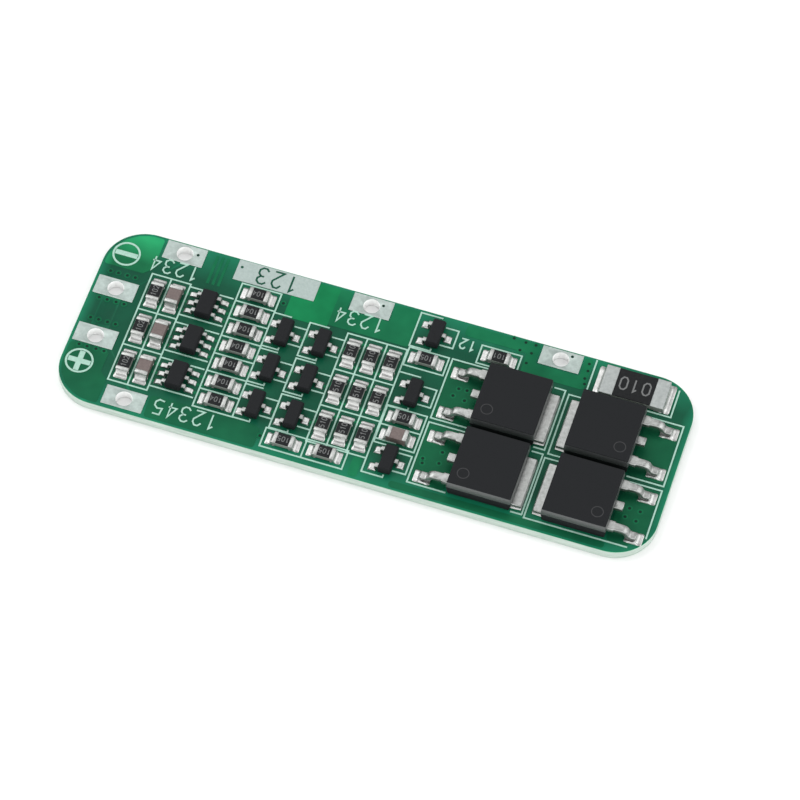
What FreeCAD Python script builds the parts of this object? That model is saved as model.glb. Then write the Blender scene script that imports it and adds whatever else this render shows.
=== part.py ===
import FreeCAD, Part
import math
import os

# Battery management board: a small laminate board with six plated solder terminals,
# four power transistors, three protection circuits, nine small transistors, chip
# resistors and capacitors, and a current shunt.
# Millimetres. The origin is at the centre of the board's underside, +X runs along the
# board towards the power transistors, +Y towards the edge with three cell terminals.

Vector = FreeCAD.Vector

# Laminate board
board_length = 58.7
board_width = 20.0
board_thickness = 1.0
board_corner_radius = 4.15

# Lands: copper with solder on it, the seat of every component
land_thickness = 0.05
seat_height = board_thickness + land_thickness

# Plated terminals for soldered wires: the hole's wall stands for copper with a coat of
# solder, and is drawn much thicker than real plating
hole_diameter = 1.6
plating_wall = 0.16
terminal_length = 4.0
terminal_width = 2.1

# Small chips: resistors and ceramic capacitors of one footprint
chip_length = 2.0
chip_width = 1.25
chip_cap_length = 0.38
chip_cap_wall = 0.04
resistor_height = 0.5
overcoat_height = 0.03
overcoat_margin = 0.03
capacitor_height = 0.85
chip_land_width = 1.3
chip_land_reach = 0.68
chip_land_under = 0.35

# Current shunt: a large chip
shunt_length = 6.3
shunt_width = 3.2
shunt_height = 0.62
shunt_cap_length = 1.3
shunt_cap_wall = 0.08
shunt_land_width = 3.25
shunt_land_reach = 0.62
shunt_land_under = 1.1

# Small transistors: three gull-wing leads on a moulded body
small_body_length = 1.3
small_body_width = 2.9
small_body_height = 1.0
small_body_clearance = 0.06
small_parting_height = 0.58
small_lead_thickness = 0.13
small_lead_width = 0.44
small_lead_pitch = 0.95
small_lead_span = 2.5
small_foot_length = 0.3
small_land_width = 0.8
small_land_reach = 0.35
small_land_under = 0.45

# Protection circuits: six gull-wing leads on a moulded body
ic_body_length = 1.6
ic_body_width = 2.9
ic_body_height = 1.1
ic_parting_height = 0.62
ic_lead_width = 0.38
ic_lead_pitch = 0.95
ic_lead_span = 2.9
ic_land_width = 0.52
ic_land_reach = 0.5
ic_land_under = 0.4

# Power transistors: a drain tab with a cut stub, and two formed leads
power_body_length = 6.3
power_body_width = 6.6
power_body_height = 2.1
power_parting_height = 1.2
power_draft_base = 0.12
power_draft_top = 0.07
power_lead_thickness = 0.5
power_lead_width = 0.78
power_shoulder_width = 1.02
power_shoulder_length = 0.6
power_lead_pitch = 2.3
power_lead_reach = 2.73
power_foot_length = 0.9
power_bend_radius = 0.25
power_lead_embedded = 0.7
tab_length = 0.87
tab_width = 5.4
tab_embedded_length = 4.6
stub_length = 0.8
stub_width = 0.86
power_land_width = 1.35
power_land_reach = 0.65
power_land_under = 1.1
tab_land_width = 5.7
tab_land_reach = 0.1

# Moulded bodies and bends
mould_draft_base = 0.07
mould_draft_top = 0.12
lead_embedded = 0.2
small_lead_slope = 80.0
power_lead_slope = 62.0
small_bends = (0.0, 0.0, 0.0, 0.0)
power_bends = (
    power_bend_radius,
    power_bend_radius + power_lead_thickness,
    power_bend_radius,
    0.0,
)

# Gaps along the board, from its left end to its right end, between pieces and their lands
side_terminal_inset = 0.3
terminal_filter_gap = 1.1
filter_pair_gap = 0.6
filter_protection_gap = 0.65
protection_divider_gap = 0.72
divider_switch_gap = 0.37
switch_balance_gap = 0.56
balance_column_gap = 0.68
balance_column_count = 3
balance_control_gap = 0.72
control_power_gap = 1.015
facing_tabs_gap = 0.935
power_end_margin = 0.87

# Gaps along the upper edge
cell_terminal_margin = 5.25
cell_terminal_gap = 14.85
terminal_shunt_gap = 1.83
shunt_end_margin = 2.38

# Gaps across the board, from its lower edge up: one row of parts for each of three cells
cell_count = 3
rows_lower_margin = 3.75
cell_row_gap = 1.32
rows_upper_margin = 4.91
filter_row_drop = 0.05
transistor_row_drop = 0.61
balance_row_drop = 0.55
divider_count = 7
divider_lower_margin = 3.21
divider_gap = 0.78
divider_upper_margin = 3.01
control_lower_margin = 1.33
transistor_capacitor_gap = 0.67
capacitor_resistor_gap = 0.8
resistor_transistor_gap = 0.75
transistor_resistor_gap = 1.95
upper_resistor_gap = 0.85
control_upper_margin = 1.05
power_lower_margin = 1.195
power_row_gap = 0.79
power_shunt_gap = 0.94
shunt_upper_margin = 0.625

# Places tied to a neighbour or an edge
top_terminal_inset = 0.13
bottom_terminal_inset = 0.42
side_terminal_pitch = 5.65
side_terminal_rise = 0.13
lower_resistor_inset = 1.7
lower_resistor_pitch = 4.05
gate_resistor_back = 2.745
gate_resistor_drop = 0.8

top_edge = board_width / 2
bottom_edge = -board_width / 2
chip_extent = chip_length + 2 * chip_land_reach
small_extent = small_lead_span + 2 * small_land_reach
ic_extent = ic_lead_span + 2 * ic_land_reach
lead_side_reach = power_lead_reach + power_land_reach
tab_side_reach = tab_length + tab_land_reach
power_extent = power_body_length + lead_side_reach + tab_side_reach
nodes = {}
solder = []


def corner_arc(before, corner, after, radius):
    """Start, middle and end of the arc that rounds one corner of an outline."""
    back = (before - corner).normalize()
    ahead = (after - corner).normalize()
    half_angle = back.getAngle(ahead) / 2
    reach = radius / math.tan(half_angle)
    centre_line = (back + ahead).normalize()
    middle = corner + centre_line * (radius / math.sin(half_angle) - radius)
    return corner + back * reach, middle, corner + ahead * reach


def outline_face(corners, radii):
    """Face inside a closed outline, each corner rounded by its own radius or sharp at 0."""
    count = len(corners)
    starts = []
    edges = []
    for index, (corner, radius) in enumerate(zip(corners, radii)):
        if radius > 0:
            arc = corner_arc(corners[index - 1], corner, corners[(index + 1) % count], radius)
            edges.append(Part.Arc(*arc).toShape())
            starts.append((arc[0], arc[2]))
        else:
            starts.append((corner, corner))
    for index in range(count):
        leave = starts[index][1]
        arrive = starts[(index + 1) % count][0]
        edges.append(Part.makeLine(leave, arrive))
    return Part.Face(Part.Wire(Part.__sortEdges__(edges)))


def slab(length, width, low, high, radius=0.0, centre=(0.0, 0.0)):
    """Upright block about a centre, its four upright edges rounded."""
    x, y = centre
    signs = ((-1, -1), (1, -1), (1, 1), (-1, 1))
    corners = [Vector(x + sx * length / 2, y + sy * width / 2, low) for sx, sy in signs]
    return outline_face(corners, [radius] * 4).extrude(Vector(0, 0, high - low))


def side_profile(points, radii, width, y=0.0):
    """Solid of one side outline, given as (x, z) points, extruded across its width."""
    corners = [Vector(x, y - width / 2, z) for x, z in points]
    return outline_face(corners, radii).extrude(Vector(0, width, 0))


def rectangle_wire(length, width, z):
    """Closed rectangle at one height."""
    signs = ((-1, -1), (1, -1), (1, 1), (-1, 1), (-1, -1))
    return Part.makePolygon([Vector(sx * length / 2, sy * width / 2, z) for sx, sy in signs])


def moulded_body(length, width, low, parting, high, draft_base, draft_top):
    """Moulded block, widest at its parting line and drafted above and below it."""
    base = rectangle_wire(length - 2 * draft_base, width - 2 * draft_base, low)
    widest = rectangle_wire(length, width, parting)
    top = rectangle_wire(length - 2 * draft_top, width - 2 * draft_top, high)
    return Part.makeLoft([base, widest, top], True, True)


def gull_wing(toe, foot, shoulder, thickness, width, slope, bends, inner, y=0.0):
    """Formed lead from inside the body at inner, over its shoulder and down to the toe.

    bends holds the inside and outside radius at the knee, then those at the heel, where
    the outside lies in the solder.
    """
    knee_inside, knee_outside, heel_inside, heel_outside = bends
    turn = math.radians(slope)
    miter = thickness * math.tan(turn / 2)
    heel = toe - foot
    knee = heel - shoulder / math.tan(turn)
    points = (
        (inner, shoulder),
        (knee, shoulder),
        (heel, 0.0),
        (toe, 0.0),
        (toe, thickness),
        (heel + miter, thickness),
        (knee + miter, shoulder + thickness),
        (inner, shoulder + thickness),
    )
    radii = (0.0, knee_inside, heel_outside, 0.0, 0.0, heel_inside, knee_outside, 0.0)
    return side_profile(points, radii, width, y)


def solder_joint(under, reach, width, climb, end=0.0, y=0.0):
    """Solder on a land: flat under the component and a fillet that climbs its end face."""
    points = (
        (end - under, -land_thickness),
        (end + reach, -land_thickness),
        (end, climb),
        (end, 0.0),
        (end - under, 0.0),
    )
    return side_profile(points, [0.0] * len(points), width, y)


def spaced(length, pieces, gaps):
    """Centres of pieces set along a length; the gaps share what the pieces leave of it."""
    stretch = (length - sum(pieces)) / sum(gaps)
    place = -length / 2
    centres = []
    for piece, gap in zip(pieces, gaps):
        place += gap * stretch + piece
        centres.append(place - piece / 2)
    return centres


def turned(shape, degrees):
    """Copy of a shape turned about the upright axis through the origin."""
    copy = shape.copy()
    copy.rotate(Vector(0, 0, 0), Vector(0, 0, 1), degrees)
    return copy


def both_ends(shape):
    """The shape and its copy turned half round."""
    return [shape, turned(shape, 180)]


def chip(length, width, height, cap_length, cap_wall, overcoat):
    """Chip component: a ceramic block in two end caps, with an overcoat if it has one."""
    end = length / 2
    inside = end - cap_wall
    start = end - cap_length
    low = cap_wall
    high = height - cap_wall
    block = slab(2 * inside, width, low, high)
    points = (
        (start, 0.0),
        (end, 0.0),
        (end, height),
        (start, height),
        (start, high),
        (inside, high),
        (inside, low),
        (start, low),
    )
    cap = side_profile(points, [0.0] * len(points), width)
    solids = [block] + both_ends(cap)
    if overcoat:
        solids.append(slab(2 * start, width - 2 * overcoat_margin, high, height + overcoat_height))
    return solids


def chip_joints(length, under, reach, width, climb):
    """Solder at both ends of a chip."""
    return both_ends(solder_joint(under, reach, width, climb, end=length / 2))


def small_transistor():
    """Moulded body with one lead on +X and two on -X, and its three joints."""
    body = moulded_body(
        small_body_length,
        small_body_width,
        small_body_clearance,
        small_parting_height,
        small_body_height,
        mould_draft_base,
        mould_draft_top,
    )
    shoulder = small_parting_height - small_lead_thickness
    toe = small_lead_span / 2
    inner = small_body_length / 2 - lead_embedded
    places = ((0, 0), (180, small_lead_pitch), (180, -small_lead_pitch))
    leads = []
    joints = []
    for angle, y in places:
        lead = gull_wing(
            toe,
            small_foot_length,
            shoulder,
            small_lead_thickness,
            small_lead_width,
            small_lead_slope,
            small_bends,
            inner,
            y,
        )
        joint = solder_joint(
            small_land_under, small_land_reach, small_land_width, small_lead_thickness, toe, y
        )
        leads.append(turned(lead, angle))
        joints.append(turned(joint, angle))
    return [body.cut(leads)] + leads, joints


def protection_circuit():
    """Moulded body with three leads on each side, and its six joints."""
    body = moulded_body(
        ic_body_length,
        ic_body_width,
        small_body_clearance,
        ic_parting_height,
        ic_body_height,
        mould_draft_base,
        mould_draft_top,
    )
    shoulder = ic_parting_height - small_lead_thickness
    toe = ic_lead_span / 2
    inner = ic_body_length / 2 - lead_embedded
    leads = []
    joints = []
    for step in (-1, 0, 1):
        lead = gull_wing(
            toe,
            small_foot_length,
            shoulder,
            small_lead_thickness,
            ic_lead_width,
            small_lead_slope,
            small_bends,
            inner,
            step * ic_lead_pitch,
        )
        joint = solder_joint(
            ic_land_under,
            ic_land_reach,
            ic_land_width,
            small_lead_thickness,
            toe,
            step * ic_lead_pitch,
        )
        leads += both_ends(lead)
        joints += both_ends(joint)
    return [body.cut(leads)] + leads, joints


def power_transistor():
    """Moulded body, its drain tab and two leads on -X, and their joints."""
    body = moulded_body(
        power_body_length,
        power_body_width,
        0.0,
        power_parting_height,
        power_body_height,
        power_draft_base,
        power_draft_top,
    )
    half_body = power_body_length / 2
    shoulder = power_parting_height - power_lead_thickness
    tab_end = half_body + tab_length
    plate_start = half_body - tab_embedded_length
    plate_centre = ((plate_start + tab_end) / 2, 0.0)
    plate = slab(tab_end - plate_start, tab_width, 0.0, power_lead_thickness, 0.0, plate_centre)
    stub_bend = power_lead_embedded - half_body
    stub_end = -half_body - stub_length
    stub_points = (
        (plate_start + power_lead_thickness, 0.0),
        (plate_start, 0.0),
        (stub_bend, shoulder),
        (stub_end, shoulder),
        (stub_end, shoulder + power_lead_thickness),
        (stub_bend, shoulder + power_lead_thickness),
        (plate_start, power_lead_thickness),
        (plate_start + power_lead_thickness, power_lead_thickness),
    )
    stub = side_profile(stub_points, [0.0] * len(stub_points), stub_width)
    drain = plate.fuse(stub).removeSplitter()
    foot_end = half_body + power_lead_reach
    leads = []
    joints = [
        solder_joint(
            tab_length + tab_embedded_length, tab_land_reach, tab_land_width,
            power_lead_thickness / 2, tab_end,
        )
    ]
    for y in (-power_lead_pitch, power_lead_pitch):
        lead = gull_wing(
            foot_end,
            power_foot_length,
            shoulder,
            power_lead_thickness,
            power_lead_width,
            power_lead_slope,
            power_bends,
            half_body - power_lead_embedded,
            y,
        )
        wing = slab(
            power_lead_embedded + power_shoulder_length,
            power_shoulder_width,
            shoulder,
            shoulder + power_lead_thickness,
            0.0,
            (half_body + (power_shoulder_length - power_lead_embedded) / 2, y),
        )
        joint = solder_joint(
            power_land_under,
            power_land_reach,
            power_land_width,
            power_lead_thickness * 0.7,
            foot_end,
            y,
        )
        leads.append(turned(lead.fuse(wing).removeSplitter(), 180))
        joints.append(turned(joint, 180))
    frame = [drain] + leads
    return [body.cut(frame)], frame, joints


def mount(name, solids, x, y, turn=0, joints=()):
    """Put a component's solids into a node on its lands, and its joints with the solder."""
    place = Vector(x, y, seat_height)
    nodes[name] = [turned(solid, turn).translate(place) for solid in solids]
    solder.extend(turned(joint, turn).translate(place) for joint in joints)


def terminal(x, y):
    """Plated terminal: a land on each face joined by the plated wall of its hole."""
    outer = hole_diameter / 2 + plating_wall
    axis = Vector(x, y, 0)
    centre = (x, y)
    low = slab(terminal_length, terminal_width, 0.0, land_thickness, centre=centre)
    high = slab(terminal_length, terminal_width, board_thickness, seat_height, centre=centre)
    wall = Part.makeCylinder(outer, board_thickness, axis)
    hole = Part.makeCylinder(hole_diameter / 2, seat_height, axis)
    return low, wall, low.fuse([high, wall]).removeSplitter().cut(hole)


def build_board_and_terminals():
    """Laminate board with its plated terminals let into it."""
    top_y = top_edge - top_terminal_inset - terminal_width / 2
    bottom_y = bottom_edge + bottom_terminal_inset + terminal_width / 2
    places = {
        "terminal_minus": (side_terminal_x, side_terminal_rise + side_terminal_pitch / 2),
        "terminal_plus": (side_terminal_x, side_terminal_rise - side_terminal_pitch / 2),
        "terminal_cell_3": (cell_terminal_x[0], bottom_y),
        "terminal_cell_2": (cell_terminal_x[0], top_y),
        "terminal_cell_1": (cell_terminal_x[1], top_y),
        "terminal_cell_0": (cell_terminal_x[2], top_y),
    }
    board = slab(board_length, board_width, 0.0, board_thickness, board_corner_radius)
    for name, (x, y) in places.items():
        low_land, wall, plated = terminal(x, y)
        board = board.cut([low_land, wall])
        nodes[name] = [plated]
    nodes["circuit_board"] = [board]


def resistor(name, x, y, turn):
    """One chip resistor with its joints."""
    solids = chip(chip_length, chip_width, resistor_height, chip_cap_length, chip_cap_wall, True)
    joints = chip_joints(
        chip_length, chip_land_under, chip_land_reach, chip_land_width, resistor_height * 0.8
    )
    mount(name, solids, x, y, turn, joints)


def capacitor(name, x, y, turn):
    """One ceramic capacitor with its joints."""
    solids = chip(chip_length, chip_width, capacitor_height, chip_cap_length, chip_cap_wall, False)
    joints = chip_joints(
        chip_length, chip_land_under, chip_land_reach, chip_land_width, capacitor_height * 0.6
    )
    mount(name, solids, x, y, turn, joints)


def build_cell_rows():
    """The parts that repeat for each cell, lowest row last."""
    upright = 90
    rows = spaced(
        board_width,
        [ic_body_width] * cell_count,
        [rows_lower_margin] + [cell_row_gap] * (cell_count - 1) + [rows_upper_margin],
    )
    for index, y in enumerate(reversed(rows)):
        cell = index + 1
        resistor(f"filter_resistor_{cell}", filter_resistor_x, y - filter_row_drop, upright)
        capacitor(f"filter_capacitor_{cell}", filter_capacitor_x, y - filter_row_drop, upright)
        solids, joints = protection_circuit()
        mount(f"protection_ic_{cell}", solids, protection_x, y, 0, joints)
        for name, x in (("switch_transistor", switch_x), ("balance_transistor", balance_x)):
            solids, joints = small_transistor()
            mount(f"{name}_{cell}", solids, x, y - transistor_row_drop, 0, joints)
        for column, x in enumerate(balance_column_x):
            name = f"balance_resistor_{cell}_{column + 1}"
            resistor(name, x, y - balance_row_drop, upright)


def build_divider_column():
    """The column of resistors beside the protection circuits."""
    rows = spaced(
        board_width,
        [chip_land_width] * divider_count,
        [divider_lower_margin] + [divider_gap] * (divider_count - 1) + [divider_upper_margin],
    )
    for index, y in enumerate(reversed(rows)):
        resistor(f"divider_resistor_{index + 1}", divider_x, y, 0)


def build_control_column():
    """The transistors, resistors and capacitor between the cell rows and the power end."""
    rows = spaced(
        board_width,
        [
            small_body_width,
            chip_land_width,
            chip_land_width,
            small_body_width,
            chip_land_width,
            small_body_width,
        ],
        [
            control_lower_margin,
            transistor_capacitor_gap,
            capacitor_resistor_gap,
            resistor_transistor_gap,
            transistor_resistor_gap,
            upper_resistor_gap,
            control_upper_margin,
        ],
    )
    lowest, capacitor_y, lower_y, middle, upper_y, highest = rows
    for index, y in enumerate((highest, middle, lowest)):
        solids, joints = small_transistor()
        mount(f"control_transistor_{index + 1}", solids, control_x, y, 0, joints)
    resistor("control_resistor_1", control_x, upper_y, 0)
    resistor("control_resistor_2", control_x, lower_y, 0)
    capacitor("control_capacitor", control_x, capacitor_y, 0)


def build_lower_resistors():
    """Two resistors between the balance transistors and the lower edge."""
    for index in range(2):
        x = balance_x + index * lower_resistor_pitch
        resistor(f"lower_resistor_{index + 1}", x, bottom_edge + lower_resistor_inset, 0)


def build_power_end():
    """Four power transistors, tabs facing, the current shunt and the gate resistor."""
    lower_y, upper_y, shunt_y = spaced(
        board_width,
        [power_body_width, power_body_width, shunt_land_width],
        [power_lower_margin, power_row_gap, power_shunt_gap, shunt_upper_margin],
    )
    tab_shift = (lead_side_reach - tab_side_reach) / 2
    left_x = left_power_x + tab_shift
    right_x = right_power_x - tab_shift
    places = ((left_x, upper_y, 0), (left_x, lower_y, 0), (right_x, upper_y, 180), (right_x, lower_y, 180))
    for index, (x, y, turn) in enumerate(places):
        body, frame, joints = power_transistor()
        mount(f"power_transistor_{index + 1}_body", body, x, y, turn, joints)
        mount(f"power_transistor_{index + 1}_leadframe", frame, x, y, turn)
    solids = chip(shunt_length, shunt_width, shunt_height, shunt_cap_length, shunt_cap_wall, True)
    joints = chip_joints(
        shunt_length, shunt_land_under, shunt_land_reach, shunt_land_width, shunt_height * 0.75
    )
    mount("current_shunt", solids, shunt_x, shunt_y, 0, joints)
    resistor("gate_resistor", left_x - gate_resistor_back, shunt_y - gate_resistor_drop, 0)


(
    side_terminal_x,
    filter_resistor_x,
    filter_capacitor_x,
    protection_x,
    divider_x,
    switch_x,
    balance_x,
    *balance_column_x,
    control_x,
    left_power_x,
    right_power_x,
) = spaced(
    board_length,
    [
        terminal_length,
        chip_land_width,
        chip_land_width,
        ic_extent,
        chip_extent,
        small_extent,
        small_extent,
        *[chip_land_width] * balance_column_count,
        chip_extent,
        power_extent,
        power_extent,
    ],
    [
        side_terminal_inset,
        terminal_filter_gap,
        filter_pair_gap,
        filter_protection_gap,
        protection_divider_gap,
        divider_switch_gap,
        switch_balance_gap,
        *[balance_column_gap] * balance_column_count,
        balance_control_gap,
        control_power_gap,
        facing_tabs_gap,
        power_end_margin,
    ],
)
*cell_terminal_x, shunt_x = spaced(
    board_length,
    [terminal_length] * 3 + [shunt_length + 2 * shunt_land_reach],
    [
        cell_terminal_margin,
        cell_terminal_gap,
        cell_terminal_gap,
        terminal_shunt_gap,
        shunt_end_margin,
    ],
)

build_board_and_terminals()
build_cell_rows()
build_divider_column()
build_control_column()
build_lower_resistors()
build_power_end()
nodes["solder_joints"] = solder

os.makedirs("parts", exist_ok=True)
for node_name, node_solids in nodes.items():
    shape = node_solids[0] if len(node_solids) == 1 else Part.makeCompound(node_solids)
    shape.exportStep(f"parts/{node_name}.step")
print(len(nodes), "nodes")
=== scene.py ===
import math
import random

import bmesh
import bpy
from mathutils import Matrix, Vector


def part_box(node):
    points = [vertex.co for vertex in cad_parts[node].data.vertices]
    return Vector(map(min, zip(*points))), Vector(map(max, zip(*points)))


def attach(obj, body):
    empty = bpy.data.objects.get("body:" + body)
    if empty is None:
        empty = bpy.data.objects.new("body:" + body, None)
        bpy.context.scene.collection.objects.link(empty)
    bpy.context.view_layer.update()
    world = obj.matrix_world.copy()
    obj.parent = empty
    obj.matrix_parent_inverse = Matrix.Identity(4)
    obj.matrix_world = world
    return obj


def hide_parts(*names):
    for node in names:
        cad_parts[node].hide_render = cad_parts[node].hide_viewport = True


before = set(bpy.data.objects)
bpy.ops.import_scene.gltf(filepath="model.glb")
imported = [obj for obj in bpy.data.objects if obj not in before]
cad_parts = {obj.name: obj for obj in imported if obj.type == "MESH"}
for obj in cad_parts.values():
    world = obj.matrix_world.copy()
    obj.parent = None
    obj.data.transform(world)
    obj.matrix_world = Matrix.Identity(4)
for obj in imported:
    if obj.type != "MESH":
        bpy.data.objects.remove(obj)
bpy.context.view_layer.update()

# Battery management board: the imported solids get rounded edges, several finishes and
# curved solder, and the board gets its tracks, vias and print. Sizes are in millimetres
# where nothing else is said, and become metres as they enter a mesh or a material.
MM = 0.001

# The board and the heights of what lies on it
board_low, board_high = (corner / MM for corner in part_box("circuit_board"))
board_corner_radius = 4.15
board_top = board_high.z
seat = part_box("filter_resistor_1")[0].z / MM
copper_rise = 0.022
print_rise = 0.034
layer_step = 0.0004
mark_rise = 0.012
faint_mark_rise = 0.004
mark_depth = 0.01

# How near two places lie that count as the same, and a foot's end and the joint it meets
match = 0.001
end_match = 0.01

# Decimals of a metre to which the corners of solids are read
corner_decimals = 8

# Rounded edges
board_edge = 0.1
land_edge = 0.02
ceramic_edge = 0.03
cap_edge = 0.06
overcoat_edge = 0.025
small_mould_edge = 0.09
power_mould_edge = 0.1
small_lead_edge = 0.03
power_lead_edge = 0.09
edge_steps = 2

# Least angle in degrees between two faces whose edge is kept, rounded or shaded sharp
kept_angle = 1
rounded_angle = 35
shaded_angle = 50

# Upward part of its normal, from and to, with which a face is a wall
wall_from = -0.01
wall_to = 0.4

# Sides of circles, steps of a rounded corner and the tightest mitre
circle_sides = 28
mould_mark_sides = 24
via_sides = 14
corner_steps = 6
mitre_limit = 0.35

# Print frames: half a column's and half a row's size, and how far the outline of a
# balance transistor reaches to its left
filter_frame = (1.0, 2.08)
balance_frame = (0.98, 2.11)
divider_frame = (1.98, 1.04)
lower_frame = (2.02, 1.05)
single_frame = (1.97, 1.04)
balance_outline_reach = 1.83

# Print frames of the power transistors: from the moulding's centre to the left, to the
# right, above and below, and the cut at the board's corner
power_frames = {
    1: (6.92, 4.25, 3.72, 3.2, 0.0),
    2: (6.92, 4.25, 3.7, 3.2, 0.0),
    3: (4.5, 6.75, 3.42, 3.48, 0.0),
    4: (4.65, 6.75, 3.4, 3.45, 1.4),
}

# Polarity marks
minus_centre = (-27.4, 7.0)
plus_centre = (-27.55, -5.85)
mark_ring_radius = 1.27
mark_ring_width = 0.19
mark_bar_half = 1.1
mark_bar_width = 0.52

# Plain numbers: text, centre and height of each, and their turn in degrees
labels = (
    ("1234", (-22.45, 6.9), 1.55),
    ("1234", (-3.85, 6.95), 1.55),
    ("12345", (-16.1, -8.35), 1.6),
    ("12", (6.75, 7.55), 1.1),
)
label_turn = 180
label_stroke = 0.15
digit_advance = 1.65
line_width = 0.15

# White block, and the number and dot laid over it in the mask's colour
block_sides = (-16.85, -8.7, 7.55, 9.9)
block_number_centre = (-12.7, 8.75)
block_number_height = 1.8
block_stroke = 0.2
block_dot_centre = (-16.4, 9.1)
block_shade_layers = 3

# Codes on the chips and rings on the mouldings
code_height = 0.5
code_stroke = 0.07
shunt_code_height = 1.35
shunt_code_stroke = 0.15
mould_mark_inset = 1.9
mould_mark_radius = 0.55
mould_mark_width = 0.07

# Solder: the powers of its hollow and domed slopes, its heights, and the climb up to
# which it is a dome
solder_hollow = 3.8
solder_dome = 3.0
solder_rest = 0.02
solder_cover = 0.03
solder_lip = 0.02
solder_ripple = solder_rest / 3
low_climb = 0.3

# Rounded ends of a soldered land, and its least width beside the foot
land_end_power = 14
land_end_root = 1 / 5
land_end_narrowing = 0.12
least_side = 0.02

# A foot's share of its land's width: the most, and what is taken where none is found
widest_foot = 0.97
missing_foot = 0.5

# Steps of the solder's surface past the foot's end, under the foot and across
solder_steps_out = 9
solder_steps_under = 4
solder_steps_across = 12

# Tracks: their sizes, the three parallel ones, and how far others start and end from
# the components' centres
track_width = 0.28
lead_pitch = 0.95
chip_land = 1.35
parallel_tracks = (-19.0, -18.45, -17.9)
parallel_track_ends = (6.3, 9.6)
circuit_lead = 1.6
circuit_track_left = 2.5
circuit_track_right = 2.7
transistor_lead_left = 1.2
transistor_track_left = 2.4
transistor_lead_right = 1.3
transistor_knee_right = 1.9
transistor_knee_left = 1.5

# Copper fields and vias, whose layers are counted up from the copper's own top
field_corner = 0.3
rim_margin = 0.25
via_radius = 0.15
via_ring_radius = 0.23
via_ring_width = 0.13
via_layers = 14
via_ring_layers = 16

# Bands along the board's ends and sides in which painted sheen makes its mask brighter
end_band = 1.05
side_band = 3.5

# Mask, copper under it and laminate: colours, grain, depth of the bump, roughness and gloss
mask_dark = (0.002, 0.056, 0.029)
mask_light = (0.004, 0.082, 0.041)
mask_rim = (0.03, 0.42, 0.2)
# How many times brighter painted sheen makes the mask in those bands
mask_edge_sheen_gain = 2.3
mask_cloud = 5.0
mask_grain = 0.9
mask_depth = 0.004
mask_rough = 0.36
mask_gloss = 0.1
copper_wave = 3.0
copper_depth = 0.03
copper_rough = (0.34, 0.5)
copper_metal = 0.2
laminate_dark = (0.38, 0.48, 0.42)
laminate_light = (0.6, 0.68, 0.62)
laminate_grain = 0.6
laminate_stretch = (0.25, 0.25, 7.0)
laminate_rough = 0.6

# Upright part of the normal over which the rim and then the flat face take over
rim_turn = (0.3, 0.5)
flat_turn = (0.95, 0.99)

# Strength of every bump
bump_strength = 0.6

# Floor: its gap below the board, its size in metres and its look
floor_gap = 0.02
floor_size = 4.0
floor_dark = (0.86, 0.86, 0.86)
floor_light = (0.88, 0.88, 0.88)
floor_cloud = 1000 / 3
floor_rough = 0.8

# Lights: place and size in metres, and power in watts
lights = {
    "overhead": ((-0.086, 0.307, 0.508), 0.34, 0.52),
    "left": ((-0.55, 0.1, 0.42), 0.7, 3.4),
    "right": ((0.55, 0.12, 0.42), 0.7, 2.9),
    "front": ((0.1, -0.55, 0.34), 0.7, 2.6),
}
surround_strength = 0.42

# Camera, fitted to the photograph: degrees, millimetres, and its near limit in metres
view_azimuth = 15.661
view_elevation = 57.869
view_roll = 2.518
view_target = (2.351, 0.257, 0.0)
view_distance = 411.09
view_lens = 195.96
sensor_width = 36.0
near_limit = 0.01

random.seed(7)


def node_centre(name):
    """Middle of a CAD node in the board's plane, in millimetres."""
    low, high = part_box(name)
    return (low.x + high.x) / 2 / MM, (low.y + high.y) / 2 / MM


def node_names(start):
    """The CAD nodes whose names begin so, in order."""
    return sorted(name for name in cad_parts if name.startswith(start))


# Materials

def new_material(name):
    """A node material, its tree and its shader."""
    material = bpy.data.materials.new(name)
    material.use_nodes = True
    tree = material.node_tree
    return material, tree, tree.nodes["Principled BSDF"]


def noise(tree, grain, detail=4.0, stretch=(1, 1, 1)):
    """Noise over the object's own coordinates, its grain in millimetres."""
    place = tree.nodes.new("ShaderNodeTexCoord")
    mapping = tree.nodes.new("ShaderNodeMapping")
    mapping.inputs["Scale"].default_value = stretch
    texture = tree.nodes.new("ShaderNodeTexNoise")
    texture.inputs["Scale"].default_value = 1 / (grain * MM)
    texture.inputs["Detail"].default_value = detail
    texture.inputs["Roughness"].default_value = 0.6
    tree.links.new(place.outputs["Object"], mapping.inputs["Vector"])
    tree.links.new(mapping.outputs["Vector"], texture.inputs["Vector"])
    return texture.outputs["Fac"]


def ramp(tree, value, dark, light, start=0.3, end=0.7):
    """Colour that turns from dark to light as a value goes from start to end."""
    node = tree.nodes.new("ShaderNodeValToRGB")
    elements = node.color_ramp.elements
    elements[0].position = start
    elements[0].color = (*dark, 1)
    elements[1].position = end
    elements[1].color = (*light, 1)
    tree.links.new(value, node.inputs["Fac"])
    return node.outputs["Color"]


def spread(tree, value, low, high, start=0.0, end=1.0):
    """A value's range from start to end mapped to a range from low to high."""
    node = tree.nodes.new("ShaderNodeMapRange")
    node.inputs["From Min"].default_value = start
    node.inputs["From Max"].default_value = end
    node.inputs["To Min"].default_value = low
    node.inputs["To Max"].default_value = high
    tree.links.new(value, node.inputs["Value"])
    return node.outputs["Result"]


def calculate(tree, operation, *values):
    """Result of a math node over one or two values."""
    node = tree.nodes.new("ShaderNodeMath")
    node.operation = operation
    for place, value in enumerate(values):
        tree.links.new(value, node.inputs[place])
    return node.outputs["Value"]


def blend(tree, share, first, second):
    """Mix of two colours by a share."""
    mix = tree.nodes.new("ShaderNodeMix")
    mix.data_type = "RGBA"
    tree.links.new(share, mix.inputs["Factor"])
    tree.links.new(first, mix.inputs["A"])
    tree.links.new(second, mix.inputs["B"])
    return mix.outputs["Result"]


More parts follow.
